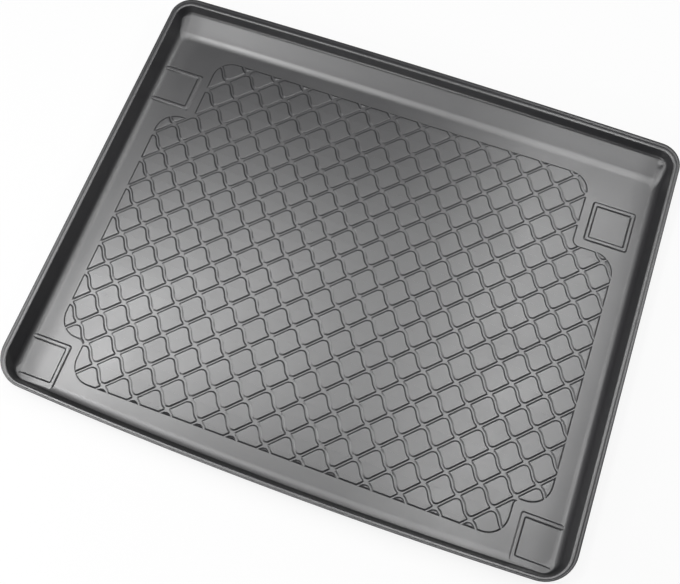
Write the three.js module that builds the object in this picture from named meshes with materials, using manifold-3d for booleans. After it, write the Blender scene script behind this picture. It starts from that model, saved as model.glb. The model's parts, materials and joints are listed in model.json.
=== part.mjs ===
// Car boot liner: a black plastic tray moulded in one piece, resting on its flat underside.
// Millimetres, +Z up, +Y towards the front of the car. The origin is under the middle of the tray.
import * as THREE from 'three';
import { mergeVertices } from 'three/addons/utils/BufferGeometryUtils.js';
import Module from 'manifold-3d';

// Overall size
const trayWidth = 1096;
const trayDepth = 900;
const trayHeight = 45;
const nearBow = 15;
const farBow = 6;
const sheet = 2.5;

// Rim
const flangeDrop = 7;
const flangeWidth = 6;
const stepHeight = 2;
const stepRun = 1;
const sideLip = 13;
const nearLip = 10;
const farLip = 12;
const lipChamfer = 1.5;
const nearCornerRadius = 60;
const farCornerRadius = 44;

// Walls, each one given by how far its foot lies inside the rim
const sideFoot = 28;
const nearFoot = 18;
const rampTop = 23;
const rampFoot = 69;
const rampHeight = 20;
const footFillet = 16;
const nearFloorRadius = 20;
const farFloorRadius = 14;

// Tile pattern
const cell = 46;
const wave = 2.5;
const grooveWidth = 7;
const grooveRise = 0.2;
const tileHeight = 2;
const patternWidth = 970;
const patternFarGap = 102;
const patternNearGap = 60;
const patternAside = 2.2;
const patternShift = -22.8;
const patternRadius = 42;
const notchRadius = 12;

// Corner pads
const padSize = 88;
const padBand = 9;
const padHeight = 2.4;
const padSlope = 1.5;
const padRadius = 6;
const padClearance = 16;
const farPadGap = 197;
const nearPadGap = 76;
const farLeftPadPlace = 481;
const farRightPadPlace = 456;
const nearPadPlace = 486;

// Smoothness of the curves, and how deep one solid is set into another
const cornerSteps = 6;
const padSteps = 3;
const bowSteps = 8;
const filletAngles = [0, 35, 70];
const waveSteps = [0, 0.25, 0.75, 1];
const overlap = 1;

const wasm = await Module();
wasm.setup();

// A closed geometry as a solid that can be joined and cut
function toSolid(geometry) {
  const merged = mergeVertices(geometry, 0.001);
  const vertProperties = new Float32Array(merged.attributes.position.array);
  const triVerts = new Uint32Array(merged.index.array);
  return new wasm.Manifold(new wasm.Mesh({ numProp: 3, vertProperties, triVerts }));
}

// A finished solid as a geometry
function toGeometry(solid) {
  const mesh = solid.getMesh();
  const geometry = new THREE.BufferGeometry();
  geometry.setAttribute('position', new THREE.BufferAttribute(new Float32Array(mesh.vertProperties), 3));
  geometry.setIndex(Array.from(mesh.triVerts));
  geometry.computeVertexNormals();
  return geometry;
}

function geometryFrom(points, faces) {
  const geometry = new THREE.BufferGeometry().setFromPoints(points);
  geometry.setIndex(faces);
  return geometry;
}

// Rings of equal count stacked into a closed body, from the ring that faces down to the one that faces up
function loft(rings) {
  const count = rings[0].length;
  const faces = [];
  for (let level = 0; level < rings.length - 1; level++) {
    for (let i = 0; i < count; i++) {
      const a = level * count + i;
      const b = level * count + (i + 1) % count;
      faces.push(a, b, b + count, a, b + count, a + count);
    }
  }
  const first = THREE.ShapeUtils.triangulateShape(rings[0], []);
  const last = THREE.ShapeUtils.triangulateShape(rings.at(-1), []);
  const start = (rings.length - 1) * count;
  for (const [a, b, c] of first) faces.push(a, c, b);
  for (const [a, b, c] of last) faces.push(start + a, start + b, start + c);
  return toSolid(geometryFrom(rings.flat(), faces));
}

function atLevel(points, z) {
  return points.map((p) => new THREE.Vector3(p.x, p.y, z));
}

// A right-angled outline, given as [x, y, radius], with its corners rounded
function roundCorners(corners, steps) {
  const points = [];
  corners.forEach(([x, y, radius], i) => {
    const [px, py] = corners.at(i - 1);
    const [nx, ny] = corners[(i + 1) % corners.length];
    const arriving = new THREE.Vector2(x - px, y - py).normalize();
    const leaving = new THREE.Vector2(nx - x, ny - y).normalize();
    for (let step = 0; step <= steps; step++) {
      const turn = (step / steps) * Math.PI / 2;
      const point = new THREE.Vector2(x, y);
      point.addScaledVector(arriving, radius * (Math.sin(turn) - 1));
      point.addScaledVector(leaving, radius * (1 - Math.cos(turn)));
      points.push(point);
    }
  });
  return points;
}

// The outline moved inwards by a distance, or outwards where the distance is negative
function inset(points, distance) {
  return points.map((point, i) => {
    const arriving = point.clone().sub(points.at(i - 1)).normalize();
    const leaving = points[(i + 1) % points.length].clone().sub(point).normalize();
    const first = new THREE.Vector2(-arriving.y, arriving.x);
    const second = new THREE.Vector2(-leaving.y, leaving.x);
    const reach = distance / (1 + first.dot(second));
    return point.clone().addScaledVector(first.add(second), reach);
  });
}

// The tray's outline at one level, with its near and far edges bowed outwards
function trayRing(side, near, far, nearRadius, farRadius, z) {
  const x = trayWidth / 2 - side;
  const low = nearBow + near - trayDepth / 2;
  const high = trayDepth / 2 - farBow - far;
  const corners = roundCorners([
    [x, low, nearRadius],
    [x, high, farRadius],
    [-x, high, farRadius],
    [-x, low, nearRadius],
  ], cornerSteps);
  const half = corners.length / 2;
  const farEdge = edgePoints(corners[half - 1], corners[half]);
  const nearEdge = edgePoints(corners.at(-1), corners[0]);
  const points = [...corners.slice(0, half), ...farEdge, ...corners.slice(half), ...nearEdge];
  for (const point of points) {
    const share = 1 - (2 * point.x / trayWidth) ** 2;
    point.y += point.y > 0 ? farBow * share : -nearBow * share;
  }
  return atLevel(points, z);
}

function edgePoints(from, to) {
  const points = [];
  for (let step = 1; step < bowSteps; step++) points.push(from.clone().lerp(to, step / bowSteps));
  return points;
}

function rimRing(depth, z) {
  return trayRing(depth, depth, depth, nearCornerRadius - depth, farCornerRadius - depth, z);
}

// A drafted wall with a rounded foot: how far inside the rim it lies at level z, on its inner face or a
// face that lies further out by the offset
function wallInset(lip, foot, z, offset) {
  const draft = Math.atan((foot - lip) / (trayHeight - sheet));
  const centre = foot + footFillet * Math.tan(Math.PI / 4 - draft / 2);
  const drop = sheet + footFillet - z;
  const radius = footFillet + offset;
  if (drop > radius * Math.sin(draft)) return centre - Math.sqrt(Math.max(radius ** 2 - drop ** 2, 0));
  return lip + (trayHeight - z) * Math.tan(draft) - offset / Math.cos(draft);
}

// The far wall: steep above, then a ramp down to the floor
const steepRun = (rampTop - farLip) / (trayHeight - sheet - rampHeight);
const rampRun = (rampFoot - rampTop) / rampHeight;

function steepInset(z, offset) {
  return farLip + steepRun * (trayHeight - z) - offset * Math.hypot(1, steepRun);
}

function rampInset(z, offset) {
  return rampTop + rampRun * (sheet + rampHeight - z) - offset * Math.hypot(1, rampRun);
}

function bendLevel(offset) {
  const spread = Math.hypot(1, steepRun) - Math.hypot(1, rampRun);
  return sheet + rampHeight + offset * spread / (rampRun - steepRun);
}

function wallRing(z, offset) {
  const rise = Math.max(z - sheet, 0) / (trayHeight - sheet);
  const side = wallInset(sideLip, sideFoot, z, offset);
  const near = wallInset(nearLip, nearFoot, z, offset);
  const far = Math.max(steepInset(z, offset), rampInset(z, offset));
  const nearRadius = THREE.MathUtils.lerp(nearFloorRadius, nearCornerRadius - sideLip, rise) + offset;
  const farRadius = THREE.MathUtils.lerp(farFloorRadius, farCornerRadius - sideLip, rise) + offset;
  return trayRing(side, near, far, nearRadius, farRadius, z);
}

// One face of the walls as rings, from the floor up to a top level
function wallRings(offset, top) {
  const centre = sheet + footFillet;
  const radius = footFillet + offset;
  const levels = filletAngles.map((angle) => centre - radius * Math.cos(THREE.MathUtils.degToRad(angle)));
  return [...levels, bendLevel(offset), top].map((z) => wallRing(z, offset));
}

// The tray: underside, outer wall, turned-down flange, stepped lip, inner wall and floor
function tray() {
  const shelf = trayHeight - stepHeight;
  const under = shelf - sheet;
  const lipEnd = lipChamfer / 2;
  const stepEnd = flangeWidth + stepRun;
  return loft([
    ...wallRings(sheet, under),
    rimRing(sheet, under),
    rimRing(sheet, shelf - flangeDrop),
    rimRing(0, shelf - flangeDrop),
    rimRing(0, shelf),
    rimRing(flangeWidth, shelf),
    rimRing(stepEnd, trayHeight),
    trayRing(sideLip - lipEnd, nearLip - lipEnd, farLip - lipEnd,
      nearCornerRadius - sideLip, farCornerRadius - sideLip, trayHeight),
    ...wallRings(0, trayHeight - lipChamfer).reverse(),
  ]);
}

// Where the tiles lie: a rounded rectangle with a notch at each corner for the pad there
function patternOutline() {
  const padReach = padSize / 2 + padClearance;
  const right = patternWidth / 2;
  const far = trayDepth / 2 - patternFarGap;
  const near = patternNearGap - trayDepth / 2;
  const farNotch = trayDepth / 2 - farPadGap - padReach;
  const nearNotch = nearPadGap - trayDepth / 2 + padReach;
  const nearSide = nearPadPlace - padReach;
  const farRightSide = farRightPadPlace - padReach;
  const farLeftSide = farLeftPadPlace - padReach;
  return roundCorners([
    [nearSide, near, patternRadius],
    [nearSide, nearNotch, notchRadius],
    [right, nearNotch, patternRadius],
    [right, farNotch, patternRadius],
    [farRightSide, farNotch, notchRadius],
    [farRightSide, far, patternRadius],
    [-farLeftSide, far, patternRadius],
    [-farLeftSide, farNotch, notchRadius],
    [-right, farNotch, patternRadius],
    [-right, nearNotch, patternRadius],
    [-nearSide, nearNotch, notchRadius],
    [-nearSide, near, patternRadius],
  ], cornerSteps);
}

// A grid point: rows of straight grooves cross rows of wavy ones, both at 45 degrees to the tray
function gridPoint(along, across) {
  const reach = cell / Math.SQRT2;
  const bend = wave / cell * Math.sin(2 * Math.PI * across);
  const x = patternAside + (along + bend + across) * reach;
  return new THREE.Vector2(x, patternShift + (along + bend - across) * reach);
}

function tileOutline(i, j) {
  const points = [];
  for (const step of waveSteps) points.push(gridPoint(i, j + step));
  for (const step of waveSteps) points.push(gridPoint(i + 1, j + 1 - step));
  return points;
}

// One sheet of raised tiles with sloping edges that meet along the grooves
function tileField() {
  const top = sheet + tileHeight;
  const valley = sheet + grooveRise;
  const bottom = sheet - overlap;
  const points = [];
  const faces = [];
  const edges = new Map();
  const name = (p) => `${points[p].x.toFixed(2)} ${points[p].y.toFixed(2)}`;
  const count = 2 * waveSteps.length;
  const reach = Math.ceil((patternWidth + trayDepth) / cell / Math.SQRT2);
  for (let i = -reach; i < reach; i++) {
    for (let j = -reach; j < reach; j++) {
      const centre = gridPoint(i + 0.5, j + 0.5);
      if (Math.abs(centre.x) > patternWidth / 2 + cell || Math.abs(centre.y) > trayDepth / 2) continue;
      const outline = tileOutline(i, j);
      const start = points.length;
      points.push(...atLevel(outline, valley), ...atLevel(inset(outline, grooveWidth / 2), top));
      points.push(...atLevel(outline, bottom));
      for (let k = 0; k < count; k++) {
        const a = start + k;
        const b = start + (k + 1) % count;
        faces.push(a, b, b + count, a, b + count, a + count);
        edges.set(`${name(a)} ${name(b)}`, [a, b, `${name(b)} ${name(a)}`]);
      }
      for (const [a, b, c] of THREE.ShapeUtils.triangulateShape(outline, [])) {
        faces.push(start + count + a, start + count + b, start + count + c);
        faces.push(start + 2 * count + a, start + 2 * count + c, start + 2 * count + b);
      }
    }
  }
  for (const [a, b, opposite] of edges.values()) {
    if (edges.has(opposite)) continue;
    faces.push(a + 2 * count, b + 2 * count, b, a + 2 * count, b, a);
  }
  return toSolid(geometryFrom(points, faces));
}

// The tiles trimmed to the pattern's outline, whose edge slopes as the grooves do
function tiles() {
  const outline = patternOutline();
  const slope = grooveWidth / 2 / (tileHeight - grooveRise);
  const rise = tileHeight - grooveRise + overlap;
  const limits = loft([
    atLevel(outline, sheet - 2 * overlap),
    atLevel(outline, sheet + grooveRise),
    atLevel(inset(outline, slope * rise), sheet + grooveRise + rise),
  ]);
  return tileField().intersect(limits);
}

// A low square frame around a bare square. A side of 1 or -1 runs it into that side wall, and near into
// the near wall as well.
function pad(x, y, side, near) {
  const half = padSize / 2;
  const hole = half - padBand;
  const box = (reach, low, radius) => roundCorners([
    [side > 0 ? trayWidth / 2 : x + reach, low, radius],
    [side > 0 ? trayWidth / 2 : x + reach, y + reach, radius],
    [side < 0 ? -trayWidth / 2 : x - reach, y + reach, radius],
    [side < 0 ? -trayWidth / 2 : x - reach, low, radius],
  ], padSteps);
  const outer = box(half, near ? -trayDepth / 2 : y - half, padRadius);
  const inner = box(hole, y - hole, overlap / 2);
  const top = sheet + padHeight;
  const spread = padSlope / padHeight;
  const block = loft([
    atLevel(outer, sheet - overlap),
    atLevel(outer, sheet),
    atLevel(inset(outer, padSlope), top),
  ]);
  const pocket = loft([
    atLevel(inset(inner, spread * overlap / 2), sheet - overlap / 2),
    atLevel(inset(inner, -spread * (padHeight + overlap)), top + overlap),
  ]);
  return block.subtract(pocket);
}

function pads() {
  const farLevel = trayDepth / 2 - farPadGap;
  const nearLevel = nearPadGap - trayDepth / 2;
  const insideWalls = loft(wallRings(sheet / 2, trayHeight));
  return pad(-farLeftPadPlace, farLevel, -1, false)
    .add(pad(farRightPadPlace, farLevel, 0, false))
    .add(pad(-nearPadPlace, nearLevel, -1, true))
    .add(pad(nearPadPlace, nearLevel, 1, true))
    .intersect(insideWalls);
}

const plastic = new THREE.MeshStandardMaterial({ color: 0x17181a, roughness: 0.6, metalness: 0 });
const liner = new THREE.Mesh(toGeometry(tray().add(tiles()).add(pads())), plastic);
liner.name = 'boot_liner';

const model = new THREE.Group();
model.add(liner);
export default model;
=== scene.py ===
# %% [markdown]
# # A black plastic boot liner
# A boot liner is a shallow tray that lies on the floor of a car's boot and keeps dirt and water in. It is
# formed from one sheet of tough black plastic: a rim that stands up all round, a ramp towards the front of
# the car, a raised tread of wavy diamonds, and a square pad near each corner. This lesson models it as one
# piece, gives it its grained plastic, and lights it as in a small product studio.

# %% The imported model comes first
import json
import math

import bmesh
import bpy
from mathutils import Matrix, Vector

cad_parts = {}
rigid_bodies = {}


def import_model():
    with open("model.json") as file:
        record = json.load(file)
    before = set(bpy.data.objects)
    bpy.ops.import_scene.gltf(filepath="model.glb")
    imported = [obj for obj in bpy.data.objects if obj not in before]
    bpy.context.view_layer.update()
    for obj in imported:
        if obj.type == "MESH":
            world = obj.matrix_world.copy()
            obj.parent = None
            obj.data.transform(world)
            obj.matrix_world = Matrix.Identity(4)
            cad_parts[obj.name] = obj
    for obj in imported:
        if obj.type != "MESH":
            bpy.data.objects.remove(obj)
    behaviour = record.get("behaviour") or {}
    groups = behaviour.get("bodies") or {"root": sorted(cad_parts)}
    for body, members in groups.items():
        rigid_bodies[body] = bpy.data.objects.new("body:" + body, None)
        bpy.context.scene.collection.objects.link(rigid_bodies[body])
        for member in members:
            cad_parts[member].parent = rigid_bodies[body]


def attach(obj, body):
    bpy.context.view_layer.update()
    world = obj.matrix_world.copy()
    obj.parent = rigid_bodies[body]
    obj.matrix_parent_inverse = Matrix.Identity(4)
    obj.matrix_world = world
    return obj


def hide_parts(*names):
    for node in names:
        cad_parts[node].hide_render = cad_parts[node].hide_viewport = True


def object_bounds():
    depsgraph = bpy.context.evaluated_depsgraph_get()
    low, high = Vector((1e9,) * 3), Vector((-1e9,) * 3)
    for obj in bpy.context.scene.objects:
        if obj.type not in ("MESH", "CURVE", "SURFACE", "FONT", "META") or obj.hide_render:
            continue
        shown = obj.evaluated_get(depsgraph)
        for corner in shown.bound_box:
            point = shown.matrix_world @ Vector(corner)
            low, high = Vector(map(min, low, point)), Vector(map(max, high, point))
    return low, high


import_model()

cad_low, cad_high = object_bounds()
print("the CAD model reaches from", list(cad_low), "to", list(cad_high))

# %% [markdown]
# ## The camera
# The photograph looks down steeply over the near edge, from a little to the right of the middle. The
# straight grooves of the tread gave the place and the turn of the camera, and the lens follows from how
# fast the tiles shrink towards the far edge. It comes first, so every later piece can be judged through it.

# %% The camera
camera_place = (0.1717, -0.5120, 1.5063)
camera_tilt = math.radians(17.97)
camera_heading = math.radians(20.80)
camera_roll = math.radians(-0.91)
camera_lens = 43.18

turn = (Matrix.Rotation(camera_heading, 3, "Z") @ Matrix.Rotation(camera_tilt, 3, "X")
        @ Matrix.Rotation(camera_roll, 3, "Z"))
bpy.ops.object.camera_add(location=camera_place, rotation=turn.to_euler())
camera = bpy.context.object
camera.name = "product_camera"
camera.data.sensor_width = 36
camera.data.lens = camera_lens
bpy.context.scene.camera = camera
print("camera at", list(camera.location))

# %% [markdown]
# ## Working in edit mode
# Everything here is shaped with the same operators that the menus call. They act on what is selected, so
# one helper selects points by their place, and a second one works out in which mode and on which object the
# next operators run. Both deselect everything first.

# %% Helpers for edit mode
close = 1e-5


def start_piece(name):
    """An empty mesh object, open in edit mode, for primitives to be added to."""
    bpy.ops.object.select_all(action="DESELECT")
    piece = bpy.data.objects.new(name, bpy.data.meshes.new(name))
    bpy.context.scene.collection.objects.link(piece)
    bpy.context.view_layer.objects.active = piece
    piece.select_set(True)
    bpy.ops.object.mode_set(mode="EDIT")
    bpy.ops.mesh.select_mode(type="VERT")
    return piece


def pick(wanted):
    """Selects the points whose place passes the test, and nothing else. Returns how many there are."""
    bpy.ops.mesh.select_all(action="DESELECT")
    mesh = bpy.context.edit_object.data
    shape = bmesh.from_edit_mesh(mesh)
    found = [point for point in shape.verts if wanted(point.co)]
    for point in found:
        point.select = True
    shape.select_flush_mode()
    bmesh.update_edit_mesh(mesh)
    return len(found)


def apply_modifier(piece, kind, **settings):
    """Adds a modifier with its settings and applies it at once."""
    bpy.ops.object.select_all(action="DESELECT")
    bpy.context.view_layer.objects.active = piece
    piece.select_set(True)
    modifier = piece.modifiers.new(kind.lower(), kind)
    for name, value in settings.items():
        setattr(modifier, name, value)
    bpy.ops.object.modifier_apply(modifier=modifier.name)


# %% [markdown]
# ## The outline at one level
# Seen from above, the tray is a rectangle with rounded corners, tighter at the far edge. Its walls lean, so
# each level has its own size and corners. A mould maker would cut the same outline at each depth. Here a
# plane is drawn at that size, its corner points are bevelled into arcs, its long edges are divided so that
# they can be bowed later, and its face is taken away to leave a closed ring. Every ring has the same number
# of points, so any two of them can be bridged into a clean band of four-sided faces.

# %% One ring of the tray
tray_width = 1.096
tray_depth = 0.900
tray_height = 0.045
sheet = 0.0025
near_bow = 0.015
far_bow = 0.006
corner_steps = 12
edge_cuts = 23


def add_ring(side, near, far, near_radius, far_radius, level):
    """One closed outline, given by how far it lies inside the rim at the sides, near edge and far edge."""
    width = tray_width - 2 * side
    low = near_bow + near - tray_depth / 2
    high = tray_depth / 2 - far_bow - far
    middle = (0, (low + high) / 2, level)
    bpy.ops.mesh.primitive_plane_add(size=1, location=middle)
    bpy.ops.transform.resize(value=(width, high - low, 1), center_override=middle)

    def corner(edge):
        return lambda p: (abs(p.z - level) < close and abs(abs(p.x) - width / 2) < close
                          and abs(p.y - edge) < close)

    for edge, radius in ((low, near_radius), (high, far_radius)):
        pick(corner(edge))
        bpy.ops.mesh.bevel(offset=radius, segments=corner_steps, affect="VERTICES", clamp_overlap=False)
    bpy.ops.mesh.select_linked()
    bpy.ops.mesh.delete(type="ONLY_FACE")
    pick(lambda p: (abs(p.z - level) < close and abs(p.x) < width / 2 - close
                    and min(abs(p.y - low), abs(p.y - high)) < close))
    bpy.ops.mesh.subdivide(number_cuts=edge_cuts)
    bpy.ops.mesh.select_linked()


def bridge_rings(piece, rings):
    """Draws the rings in order, bridges each one to the one before it, and closes the first and the last."""
    for number, ring in enumerate(rings):
        add_ring(*ring)
        bpy.ops.object.vertex_group_assign_new()
        if number:
            select_rings(piece, number - 1, number)
            bpy.ops.mesh.bridge_edge_loops()
    for number in (0, len(rings) - 1):
        select_rings(piece, number)
        bpy.ops.mesh.edge_face_add()
    piece.vertex_groups.clear()


def select_rings(piece, *numbers):
    bpy.ops.mesh.select_all(action="DESELECT")
    for number in numbers:
        piece.vertex_groups.active_index = number
        bpy.ops.object.vertex_group_select()


# %% [markdown]
# ## How the walls lean
# The side walls are drafted planes that meet the floor in a rounded foot. The far wall is steep above and
# then becomes a ramp, so that the liner clears the back of the seats, and the near wall has a much lower
# ramp of the same kind. Both bends of a ramp are rounded, because a heated sheet can't be pulled into a
# sharp corner. These functions say how far inside the rim a wall lies at a level. The offset gives the same
# wall's outer face, one sheet further out.

# %% Wall profiles
side_lip, near_lip, far_lip = 0.013, 0.0085, 0.0175
side_foot, foot_radius = 0.022, 0.016
near_floor_radius, far_floor_radius = 0.020, 0.014
near_corner_radius, far_corner_radius = 0.060, 0.044
wall_rise = tray_height - sheet


def on_arc(centre, radius, level):
    return centre[0] - math.sqrt(max(radius ** 2 - (centre[1] - level) ** 2, 0))


def side_inset(level, offset):
    """A drafted wall with a rounded foot."""
    draft = math.atan((side_foot - side_lip) / wall_rise)
    centre = (side_foot + foot_radius * math.tan(math.pi / 4 - draft / 2), sheet + foot_radius)
    radius = foot_radius + offset
    if centre[1] - level > radius * math.sin(draft):
        return on_arc(centre, radius, level)
    return side_lip + (tray_height - level) * math.tan(draft) - offset / math.cos(draft)


class RampedWall:
    """A wall with a rounded foot, a ramp, a rounded bend, and a steep part up to the lip."""

    def __init__(self, lip, top, foot, height, foot_arc, bend_arc):
        self.lip, self.foot, self.foot_arc, self.bend_arc = lip, foot, foot_arc, bend_arc
        self.slope = math.atan2(height, foot - top)
        self.steep = math.atan2(wall_rise - height, top - lip)
        self.start = (foot + foot_arc * math.tan(self.slope / 2), sheet + foot_arc)
        reach = bend_arc * math.tan((self.steep - self.slope) / 2)
        lean, lift = math.sin(self.slope), math.cos(self.slope)
        self.bend = (top + reach * lift + bend_arc * lean, sheet + height - reach * lean + bend_arc * lift)

    def inset(self, level, offset):
        foot_arc, bend_arc = self.foot_arc + offset, self.bend_arc + offset
        if level < self.start[1] - foot_arc * math.cos(self.slope):
            return on_arc(self.start, foot_arc, level)
        if level < self.bend[1] - bend_arc * math.cos(self.slope):
            return self.foot - (level - sheet) / math.tan(self.slope) - offset / math.sin(self.slope)
        if level < self.bend[1] - bend_arc * math.cos(self.steep):
            return on_arc(self.bend, bend_arc, level)
        return self.lip + (tray_height - level) / math.tan(self.steep) - offset / math.sin(self.steep)

    def bend_levels(self, offset, steps):
        turns = [self.slope + (self.steep - self.slope) * step / steps for step in range(steps + 1)]
        return [self.bend[1] - (self.bend_arc + offset) * math.cos(turn) for turn in turns]


far_wall = RampedWall(far_lip, top=0.0205, foot=0.067, height=0.020, foot_arc=0.045, bend_arc=0.008)
near_wall = RampedWall(near_lip, top=0.0155, foot=0.0250, height=0.00325, foot_arc=0.045, bend_arc=0.0025)


def wall_ring(level, offset):
    """One ring of the walls. Its corners open out from the floor's tight ones to the rim's."""
    rise = max(level - sheet, 0) / wall_rise
    near_radius = near_floor_radius + rise * (near_corner_radius - side_lip - near_floor_radius)
    far_radius = far_floor_radius + rise * (far_corner_radius - side_lip - far_floor_radius)
    return (side_inset(level, offset), near_wall.inset(level, offset), far_wall.inset(level, offset),
            near_radius + offset, far_radius + offset, level)


def wall_rings(offset, top):
    """Rings from the floor to a top level, close together where a wall is curved."""
    foot = [sheet + foot_radius - (foot_radius + offset) * math.cos(math.radians(angle))
            for angle in (0, 5, 10, 15, 20, 25, 30, 40, 50, 60, 70)]
    levels = sorted(foot + near_wall.bend_levels(offset, 4) + far_wall.bend_levels(offset, 5) + [top])
    return [wall_ring(level, offset) for level in levels if level <= top]


for name, wall in (("far", far_wall), ("near", near_wall)):
    print("the", name, "wall's ramp climbs at", round(math.degrees(wall.slope)), "degrees and bends to",
          round(math.degrees(wall.steep)), "degrees")

# %% [markdown]
# ## The tray
# The section runs up the outside of the wall, out under the rim, round the turned-down flange, up the small
# step to the lip, and down the inside. Bridging ring to ring follows it as a former would follow the mould.
# The shelf ends in a bend and the lip in a rounded edge, made with a few extra rings, because they catch
# the light as thin lines. The near and far edges are then bowed: the middle points are moved out and drag
# their neighbours, with a falloff that makes a parabola.

# %% The tray
flange_drop, flange_width = 0.007, 0.0055
step_height, step_run = 0.0012, 0.0020
flange_edge_run, flange_edge_drop = 0.0030, 0.0013
lip_edge_run, lip_edge_drop = 0.0028, 0.0018
step_foot_out, step_foot_in = 0.0003, 0.0001
step_top_out, step_top_in = 0.0002, 0.0003
edge_soft = 0.0004
near_share, far_share = 0.55, 1.5


def rim_ring(depth, level, near=1, far=1):
    corner_radii = (near_corner_radius - depth, far_corner_radius - depth)
    return (depth, near * depth, far * depth, *corner_radii, level)


def shelf_ring(depth, level):
    """A ring on the flange's shelf, which is narrower on the near side and wider on the far side."""
    return rim_ring(depth, level, near_share, far_share)


def lip_ring(back, level):
    """A ring on the lip, this far back from where the lip would meet the wall."""
    side, near, far, near_radius, far_radius, _ = wall_ring(level, 0)
    return (side - back, near - back, far - back, near_radius, far_radius, level)


# The flange's shelf bends down towards its rim along a parabola, and ends there in a crisp edge. The lip
# turns into the wall round a quarter of an ellipse. Each is a list of (distance inwards, distance down).
edge_steps = [step / 4 for step in range(5)]
lip_turns = [math.pi / 2 * step / 4 for step in range(5)]
flange_curve = [(flange_edge_run * share, flange_edge_drop * (1 - share) ** 2) for share in edge_steps]
lip_curve = [(lip_edge_run * (1 - math.sin(turn)), lip_edge_drop * (1 - math.cos(turn)))
             for turn in lip_turns]


# Two rings at the very same level can't be told up from down when they are bridged, so even the flat parts
# rise or fall by a hair.
hair = 0.00002
shelf = tray_height - step_height
skirt_end = shelf - flange_drop
step_end = flange_width + step_run
tray_rings = [
    *wall_rings(sheet, shelf - sheet),
    rim_ring(sheet, shelf - sheet - hair),
    rim_ring(sheet, skirt_end),
    rim_ring(edge_soft, skirt_end - hair),
    rim_ring(0, skirt_end + edge_soft),
    *[shelf_ring(inward, shelf - down) for inward, down in flange_curve],
    shelf_ring(flange_width - step_foot_out, shelf + hair),
    shelf_ring(flange_width + step_foot_in, shelf + edge_soft),
    shelf_ring(step_end - step_top_out, tray_height - edge_soft),
    shelf_ring(step_end + step_top_in, tray_height - hair),
    *[lip_ring(back, tray_height - down) for back, down in lip_curve],
    *reversed(wall_rings(0, (tray_height - lip_edge_drop + far_wall.bend[1]) / 2)),
]

tray = start_piece("boot_liner_tray")
bridge_rings(tray, tray_rings)
for far_side, bow in ((1, far_bow), (-1, -near_bow)):
    pick(lambda p: abs(p.x) < close and p.y * far_side > 0)
    bpy.ops.transform.translate(value=(0, bow, 0), use_proportional_edit=True,
                                proportional_edit_falloff="INVERSE_SQUARE", proportional_size=tray_width / 2)
bpy.ops.mesh.select_all(action="SELECT")
bpy.ops.mesh.normals_make_consistent(inside=False)
bpy.ops.object.mode_set(mode="OBJECT")
print("the tray has", len(tray_rings), "rings and", len(tray.data.polygons), "faces")

# %% [markdown]
# ## A crease in the ramp
# The photographed liner has one flaw, a small crease at the right end of the ramp, where the sheet was
# stretched round the corner. The faces there are divided, and the point nearest to its middle is lifted and
# drags its neighbours along, which is how a fingertip would push the warm sheet up.

# %% The crease
crease_place = Vector((0.517, 0.412, 0.0176))
crease_lift = Vector((0, -0.0006, 0.0020))
crease_reach = 0.009
divided_reach = 4 * crease_reach
divided_level, divided_side = sheet + 0.001, 0.535


def off_crease(p):
    return (p - crease_place).length


bpy.ops.object.mode_set(mode="EDIT")
found = pick(lambda p: off_crease(p) < divided_reach and p.z > divided_level and p.x < divided_side)
bpy.ops.mesh.subdivide(number_cuts=5, ngon=False)
shape = bmesh.from_edit_mesh(tray.data)
middle = min((point.co.copy() for point in shape.verts), key=off_crease)
pick(lambda p: (p - middle).length < close)
bpy.ops.transform.translate(value=crease_lift, use_proportional_edit=True,
                            proportional_edit_falloff="SMOOTH", proportional_size=crease_reach)
bpy.ops.object.mode_set(mode="OBJECT")
print("the crease divides the faces between", found, "points and stands at", middle)

# %% [markdown]
# ## The tread tiles
# The tread is a net of grooves in a raised field. One family of grooves runs straight and the other in
# gentle waves, so each tile is a square turned to a diamond, with two wavy sides. One tile is modelled: a
# plane with each corner bevelled by its own radius, two sides divided, and the wave pulled into them. Then
# it is thickened and inset twice, once for its sloping flank and once for its softened top edge. Two array
# modifiers lay the copies out.

# %% One tile
cell = 0.046
wave = 0.0025
groove_floor = 0.0022
tile_height = 0.0020
edge_run, edge_drop = 0.0009, 0.00035
flank_lean = 1.5
sunk = 0.0005
tile_half = (cell - groove_floor) / 2 + flank_lean * sunk
tile_corners = (((1, 1), 0.0102), ((-1, -1), 0.0080), ((-1, 1), 0.0047), ((1, -1), 0.0047))


def raise_edge(rise, lean=flank_lean, spare=1):
    """Gives the selected face its sloping flank, then its softened edge, which may be longer to spare."""
    bpy.ops.mesh.inset(thickness=rise * lean, depth=rise)
    bpy.ops.mesh.inset(thickness=edge_run * spare, depth=edge_drop * spare)


tiles = start_piece("boot_liner_tiles")
base = sheet - sunk
bpy.ops.mesh.primitive_plane_add(size=2 * tile_half, location=(0, 0, base))
for (x, y), radius in tile_corners:
    pick(lambda p: (p - Vector((x * tile_half, y * tile_half, base))).length < close)
    bpy.ops.mesh.bevel(offset=radius, segments=4 if radius > 0.005 else 2, affect="VERTICES")
bpy.ops.mesh.select_all(action="SELECT")
bpy.ops.mesh.delete(type="ONLY_FACE")
pick(lambda p: abs(abs(p.x) - tile_half) < close)
bpy.ops.mesh.subdivide(number_cuts=4)
bpy.ops.mesh.select_all(action="SELECT")
bpy.ops.mesh.edge_face_add()
shape = bmesh.from_edit_mesh(tiles.data)
for point in shape.verts:
    point.co.x += wave * math.sin(2 * math.pi * point.co.y / cell)
shape.normal_update()
faces_down = shape.faces[:][0].normal.z < 0
bmesh.update_edit_mesh(tiles.data)
if faces_down:
    bpy.ops.mesh.flip_normals()
bpy.ops.mesh.duplicate_move()
raise_edge(sunk + tile_height - edge_drop)
bpy.ops.mesh.select_all(action="SELECT")
bpy.ops.mesh.remove_doubles(threshold=close)
bpy.ops.mesh.normals_make_consistent(inside=False)
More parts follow.
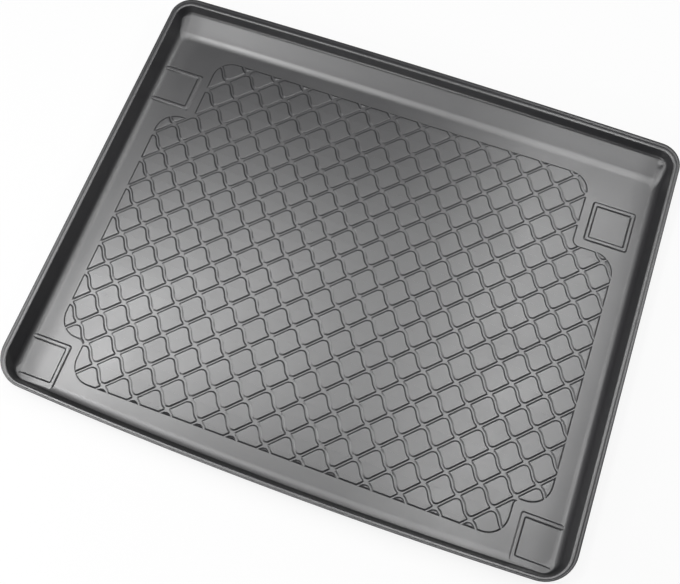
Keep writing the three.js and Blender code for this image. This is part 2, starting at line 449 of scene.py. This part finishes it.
bpy.ops.transform.rotate(value=-math.pi / 4, orient_axis="Z", center_override=(0, 0, 0))
shape = bmesh.from_edit_mesh(tiles.data)
open_edges = [edge for edge in shape.edges if not edge.is_manifold]
print("one tile has", len(shape.faces), "faces and", len(open_edges), "open edges")
print("its rounded corner points to", max(shape.verts, key=lambda v: v.co.y).co)

# %% [markdown]
# The two array modifiers step along the straight grooves and across them, and the photograph shows a
# slightly longer step along them. The copies start beyond the tread, because the next step cuts them to
# its outline.

# %% The field of tiles
pitch_change = 0.005
pitch_along, pitch_across = (1 + pitch_change) * cell, (1 - pitch_change) * cell
pattern_place = (0.0041, -0.0208)
tile_count = 28
step_along = pitch_along / math.sqrt(2) * Vector((1, 1, 0))
step_across = pitch_across / math.sqrt(2) * Vector((1, -1, 0))
first_tile = Vector((*pattern_place, 0)) - (tile_count - 1) / 2 * (step_along + step_across)

bpy.ops.transform.translate(value=first_tile)
bpy.ops.object.mode_set(mode="OBJECT")
for step in (step_along, step_across):
    apply_modifier(tiles, "ARRAY", count=tile_count, use_relative_offset=False, use_constant_offset=True,
                   constant_offset_displace=step)
print("the field has", tile_count ** 2, "tiles and", len(tiles.data.polygons), "faces")

# %% [markdown]
# ## The tread's outline
# The tread fills the floor but leaves a plain border, and it steps back round the pads in rounded notches.
# The outline starts as a plane of nine squares. The four corner squares are taken away, which leaves twelve
# corners, and these are bevelled: the outer ones widely and the inner ones tightly. It gets the same flank
# and softened edge as a tile, so that a tile cut by it keeps its moulded look. It starts below the floor, so
# its sizes are given there.

# %% The outline as a solid, and the cut
deep = 2 * sunk
spread = deep * flank_lean
tread_half_width = 0.485 + spread
tread_far, tread_near = 0.348 + spread, -0.3905 - spread
far_notch, near_notch = 0.193 + spread, -0.314 - spread
far_left_side, far_right_side, near_side = 0.421 + spread, 0.396 + spread, 0.426 + spread
outer_radius, inner_radius = 0.042 + spread, 0.012 - spread
grid_lines = (-1 / 2, -1 / 6, 1 / 6, 1 / 2)


def join_shapes(piece, other, operation):
    """Combines two closed solids, and takes the second one away."""
    apply_modifier(piece, "BOOLEAN", object=other, operation=operation, solver="MANIFOLD")
    bpy.data.objects.remove(other)


outline = start_piece("tread_outline")
low = sheet - deep
bpy.ops.mesh.primitive_grid_add(x_subdivisions=3, y_subdivisions=3, size=1, location=(0, 0, low))
corners = bmesh.from_edit_mesh(outline.data)
rows = (tread_near, near_notch, far_notch, tread_far)
columns = {tread_near: (-near_side, near_side), near_notch: (-near_side, near_side),
           far_notch: (-far_left_side, far_right_side), tread_far: (-far_left_side, far_right_side)}
for point in corners.verts:
    column = min(range(4), key=lambda k: abs(point.co.x - grid_lines[k]))
    row = min(range(4), key=lambda k: abs(point.co.y - grid_lines[k]))
    left, right = columns[rows[row]]
    point.co.x = (-tread_half_width, left, right, tread_half_width)[column]
    point.co.y = rows[row]
bmesh.update_edit_mesh(outline.data)
pick(lambda p: (abs(p.x) > tread_half_width - close
                and (p.y > far_notch + close or p.y < near_notch - close)))
bpy.ops.mesh.delete(type="VERT")
bpy.ops.mesh.select_all(action="SELECT")
bpy.ops.mesh.dissolve_limited(angle_limit=math.radians(1))
inner = [(x, y, low) for y in (near_notch, far_notch) for x in columns[y]]
pick(lambda p: min((p - Vector(spot)).length for spot in inner) < close)
bpy.ops.mesh.bevel(offset=inner_radius, segments=5, affect="VERTICES", clamp_overlap=False)
outer = [(x, y, low) for y in (tread_near, tread_far) for x in columns[y]]
outer += [(x, y, low) for y in (near_notch, far_notch) for x in (-tread_half_width, tread_half_width)]
pick(lambda p: min((p - Vector(spot)).length for spot in outer) < close)
bpy.ops.mesh.bevel(offset=outer_radius, segments=14, affect="VERTICES", clamp_overlap=False)
bpy.ops.mesh.select_all(action="SELECT")
bpy.ops.mesh.duplicate_move()
raise_edge(deep + tile_height - edge_drop, spare=3)
bpy.ops.mesh.select_all(action="SELECT")
bpy.ops.mesh.remove_doubles(threshold=close)
bpy.ops.mesh.normals_make_consistent(inside=False)
bpy.ops.object.mode_set(mode="OBJECT")
print("the outline has", len(outline.data.vertices), "points")
join_shapes(tiles, outline, "INTERSECT")
print("the cut tread has", len(tiles.data.polygons), "faces")

# %% [markdown]
# ## The corner pads
# Each pad is a low square frame round a bare square, where a strap or a hook can be fixed. Three of them run
# into the side wall, and the two near ones also into the near wall. A pad is a plane with its free corners
# bevelled, thickened, and inset for its slope, less a second block that makes the bare square. What would
# stick out through a wall is cut off by a solid that ends in the middle of the wall's thickness.

# %% The pads
pad_half = 0.044
pad_band = 0.011
pad_height = 0.0024
pad_radius = 0.006
hole_radius = 0.0060
far_pad_level, near_pad_level = 0.253, -0.374
pad_lean = 1.3
hole_spread = pad_lean * (pad_height - edge_drop) + 3 * edge_run
wall_reach = tray_width / 2
pad_places = {"far left": (-0.481, far_pad_level), "far right": (0.456, far_pad_level),
              "near left": (-0.486, near_pad_level), "near right": (0.486, near_pad_level)}


def pad_box(name, half, reach_wall):
    """(left, right, near, far) of a pad or its hole. Where it runs into a wall, it reaches past it."""
    x, y = pad_places[name]
    left = -wall_reach if "left" in name else x - half
    right = wall_reach if name == "near right" else x + half
    near = -tray_depth / 2 if reach_wall and "near" in name else y - half
    return left, right, near, y + half


def add_blocks(name, boxes, radius, level):
    """Flat plates with rounded corners, each with a copy of itself that stays selected."""
    piece = start_piece(name)
    for left, right, near, far in boxes:
        middle = ((left + right) / 2, (near + far) / 2, level)
        bpy.ops.mesh.primitive_plane_add(size=1, location=middle)
        bpy.ops.transform.resize(value=(right - left, far - near, 1), center_override=middle)
    bpy.ops.mesh.select_all(action="SELECT")
    bpy.ops.mesh.bevel(offset=radius, segments=5, affect="VERTICES")
    bpy.ops.mesh.select_all(action="SELECT")
    bpy.ops.mesh.duplicate_move()
    return piece


def close_piece():
    bpy.ops.mesh.select_all(action="SELECT")
    bpy.ops.mesh.remove_doubles(threshold=close)
    bpy.ops.mesh.normals_make_consistent(inside=False)
    bpy.ops.object.mode_set(mode="OBJECT")


pad_boxes = [pad_box(name, pad_half + pad_lean * sunk, True) for name in pad_places]
pads = add_blocks("boot_liner_pads", pad_boxes, pad_radius, sheet - sunk)
raise_edge(sunk + pad_height - edge_drop, pad_lean)
close_piece()

hole_boxes = [pad_box(name, pad_half - pad_band + hole_spread, False) for name in pad_places]
holes = add_blocks("pad_holes", hole_boxes, hole_radius, sheet + pad_height + 2 * edge_drop)
bpy.ops.mesh.inset(thickness=3 * edge_run, depth=-3 * edge_drop)
pocket = pad_height - edge_drop + sunk / 2
bpy.ops.mesh.inset(thickness=pocket * pad_lean, depth=-pocket)
close_piece()
join_shapes(pads, holes, "DIFFERENCE")

space = start_piece("space_inside_walls")
bridge_rings(space, wall_rings(sheet / 2, tray_height))
close_piece()
join_shapes(pads, space, "INTERSECT")
print("the pads have", len(pads.data.polygons), "faces")

# %% [markdown]
# ## One piece
# The real liner is a single sheet, so the tiles and pads are joined to the tray as solids, with no faces
# left inside. Where a cut runs almost through a point it leaves slivers far thinner than a hair, and these
# are welded shut. The surface is then shaded smooth wherever two faces meet at a small angle. Weighted
# normals keep the broad faces flat, so that only the narrow bands along the edges look rounded.

# %% Join and shade
join_shapes(tray, tiles, "UNION")
join_shapes(tray, pads, "UNION")
tray.name = "boot_liner_shell"
weld = 0.000002
bpy.ops.object.mode_set(mode="EDIT")
bpy.ops.mesh.select_all(action="SELECT")
bpy.ops.mesh.remove_doubles(threshold=weld)
bpy.ops.mesh.dissolve_degenerate(threshold=weld)
bpy.ops.object.mode_set(mode="OBJECT")
bpy.ops.object.select_all(action="DESELECT")
bpy.context.view_layer.objects.active = tray
tray.select_set(True)
bpy.ops.object.shade_smooth_by_angle(angle=math.radians(32))
apply_modifier(tray, "WEIGHTED_NORMAL", keep_sharp=True)
tray.data.calc_loop_triangles()
print("the liner has", len(tray.data.loop_triangles), "triangles")

# %% [markdown]
# ## Shader maths
# A finish is easier to read as a sum than as a web of boxes. This class wraps one output of a node, so that
# Python's own signs add the maths nodes, and any other node comes from one method.

# %% A wrapped socket


class Shade:
    def __init__(self, tree, socket=None):
        self.tree = tree
        self.socket = socket

    def node(self, kind, settings=None, inputs=None, output=0):
        made = self.tree.nodes.new("ShaderNode" + kind)
        for name, value in (settings or {}).items():
            setattr(made, name, value)
        for name, value in (inputs or {}).items():
            if isinstance(value, Shade):
                self.tree.links.new(value.socket, made.inputs[name])
            else:
                made.inputs[name].default_value = value
        return Shade(self.tree, made.outputs[output])

    def maths(self, operation, first, second):
        return self.node("Math", {"operation": operation}, {0: first, 1: second})

    def __add__(self, other):
        return self.maths("ADD", self, other)

    def __mul__(self, other):
        return self.maths("MULTIPLY", self, other)

    def __sub__(self, other):
        return self.maths("SUBTRACT", self, other)

    def __rsub__(self, other):
        return self.maths("SUBTRACT", other, self)

    __radd__ = __add__
    __rmul__ = __mul__


def new_material(name):
    """A material with one Principled shader. Returns the material, its shader and its wrapped tree."""
    material = bpy.data.materials.new(name)
    material.use_nodes = True
    shader = material.node_tree.nodes["Principled BSDF"]
    return material, shader, Shade(material.node_tree)


# %% [markdown]
# ## Grained black plastic
# The plastic is coloured through, almost black, and the sheet carries a fine pebbled grain that takes the
# mirror out of its shine. Its grey look is the light reflected in that grain. The colour and the roughness
# drift slightly over the sheet, as they do where it cooled unevenly, and the side walls and the strips
# beside them, where it was stretched most, are a little duller. The grain itself is a shallow bump of cells
# about a millimetre across.

# %% The plastic
plastic_colour = (0.018, 0.018, 0.020, 1)
plastic_pale = (0.024, 0.024, 0.026, 1)
plastic_roughness = 0.36
stretched_from, stretched_to, stretched_rise = 0.472, 0.506, 0.075
drift_spread, speckle_spread = 0.10, 0.05
drift_weight = 0.7
grain_strength, grain_depth = 0.15, 0.0002
plastic_specular = 1.0
plastic_ior = 1.6
grain_per_metre = 900

black_plastic, shader, tree = new_material("black_plastic")
place = tree.node("TexCoord", output="Object")
drift = tree.node("TexNoise", inputs={"Vector": place, "Scale": 9.0, "Detail": 3.0, "Roughness": 0.5})
speckle = tree.node("TexNoise", inputs={"Vector": place, "Scale": 260.0, "Detail": 2.0, "Roughness": 0.6})
mottle = drift * drift_weight + speckle * (1 - drift_weight)
colour = tree.node("Mix", {"data_type": "RGBA"},
                   {"Factor": mottle, 6: plastic_colour, 7: plastic_pale}, output=2)
apart = tree.node("SeparateXYZ", inputs={"Vector": place})
aside = tree.node("Math", {"operation": "ABSOLUTE"}, {0: apart})
stretched = tree.node("MapRange", {"interpolation_type": "SMOOTHSTEP"},
                      {"Value": aside, "From Min": stretched_from, "From Max": stretched_to})
roughness = (plastic_roughness + stretched * stretched_rise
             + (drift - 0.5) * drift_spread + (speckle - 0.5) * speckle_spread)
cells = tree.node("TexVoronoi", {"feature": "SMOOTH_F1"},
                  {"Vector": place, "Scale": grain_per_metre, "Smoothness": 0.6, "Randomness": 1.0})
grain = tree.node("Bump", inputs={"Strength": grain_strength, "Distance": grain_depth, "Height": 1 - cells})
for name, value in (("Base Color", colour), ("Roughness", roughness), ("Normal", grain)):
    black_plastic.node_tree.links.new(value.socket, shader.inputs[name])
shader.inputs["IOR"].default_value = plastic_ior
shader.inputs["Specular IOR Level"].default_value = plastic_specular
tray.data.materials.clear()
tray.data.materials.append(black_plastic)
print("the plastic has", len(black_plastic.node_tree.nodes), "nodes")

# %% [markdown]
# ## The studio
# A photographer lays such a liner on a white sweep under large soft lights. Four hang high above it, each
# where some part of the tray mirrors it towards the camera: the near left of the floor, its middle, its
# right side, and the left end of the ramp. Three weaker ones stand low, to lift the walls out of the dark.
# The sweep is white to the camera, and it keeps part of the shadow under the liner.

# %% Floor, background and lights
floor_reach = 12
sweep_white = (0.8, 0.8, 0.8, 1)
sweep_glow = 0.85
world_grey = 0.05

bpy.ops.object.select_all(action="DESELECT")
bpy.ops.mesh.primitive_plane_add(size=floor_reach, location=(0, 0, cad_low.z))
floor = bpy.context.object
floor.name = "studio_floor"
sweep, shader, tree = new_material("white_sweep")
shader.inputs["Base Color"].default_value = sweep_white
shader.inputs["Roughness"].default_value = 0.9
seen = tree.node("LightPath", output="Is Camera Ray")
glossy = tree.node("LightPath", output="Is Glossy Ray")
through = tree.node("LightPath", output="Is Transmission Ray")
glow = tree.node("Emission", inputs={"Color": (1, 1, 1, 1), "Strength": 1.0})
mixed = tree.node("MixShader", inputs={0: (seen + glossy + through) * sweep_glow,
                                       1: Shade(tree.tree, shader.outputs[0]), 2: glow})
tree.tree.links.new(mixed.socket, tree.tree.nodes["Material Output"].inputs["Surface"])
floor.data.materials.append(sweep)

world = bpy.data.worlds.new("studio")
world.use_nodes = True
bpy.context.scene.world = world
sky = Shade(world.node_tree)
seen = sky.node("LightPath", output="Is Camera Ray")
level = world_grey + seen * (1 - world_grey)
back = world.node_tree.nodes["Background"]
world.node_tree.links.new(level.socket, back.inputs["Strength"])
back.inputs["Color"].default_value = (1, 1, 1, 1)


def soft_light(name, place, size, power, lean=(0, 0)):
    """A rectangular area light that faces down, or leans by these angles in degrees about x and y."""
    turned = [math.radians(angle) for angle in (*lean, 0)]
    bpy.ops.object.light_add(type="AREA", location=place, rotation=turned)
    light = bpy.context.object
    light.name = name
    light.data.shape = "RECTANGLE"
    light.data.size, light.data.size_y = size
    light.data.energy = power


soft_light("near_left_light", (-1.90, 0.10, 3.50), (0.5, 0.9), 39)
soft_light("middle_light", (-1.00, 0.60, 3.50), (1.5, 1.6), 34)
soft_light("right_light", (0.80, 1.05, 3.50), (0.6, 3.4), 60)
soft_light("front_left_light", (-1.66, -2.20, 3.50), (0.7, 0.7), 12)
soft_light("low_left_light", (-2.10, -1.20, 1.10), (1.0, 1.2), 20, lean=(0, -62))
soft_light("low_front_light", (-0.50, -2.50, 0.90), (1.6, 0.8), 22, lean=(68, 0))
soft_light("low_right_light", (1.90, 1.00, 1.90), (0.8, 0.8), 13, lean=(0, 48))

# %% [markdown]
# ## Hand over
# The new piece stands for the CAD liner, which is hidden, and rides on its body. Its finish is the black
# plastic given to it above.

# %% Finish
view = bpy.context.scene.view_settings
view.view_transform = "Standard"
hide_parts("boot_liner")
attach(tray, "root")
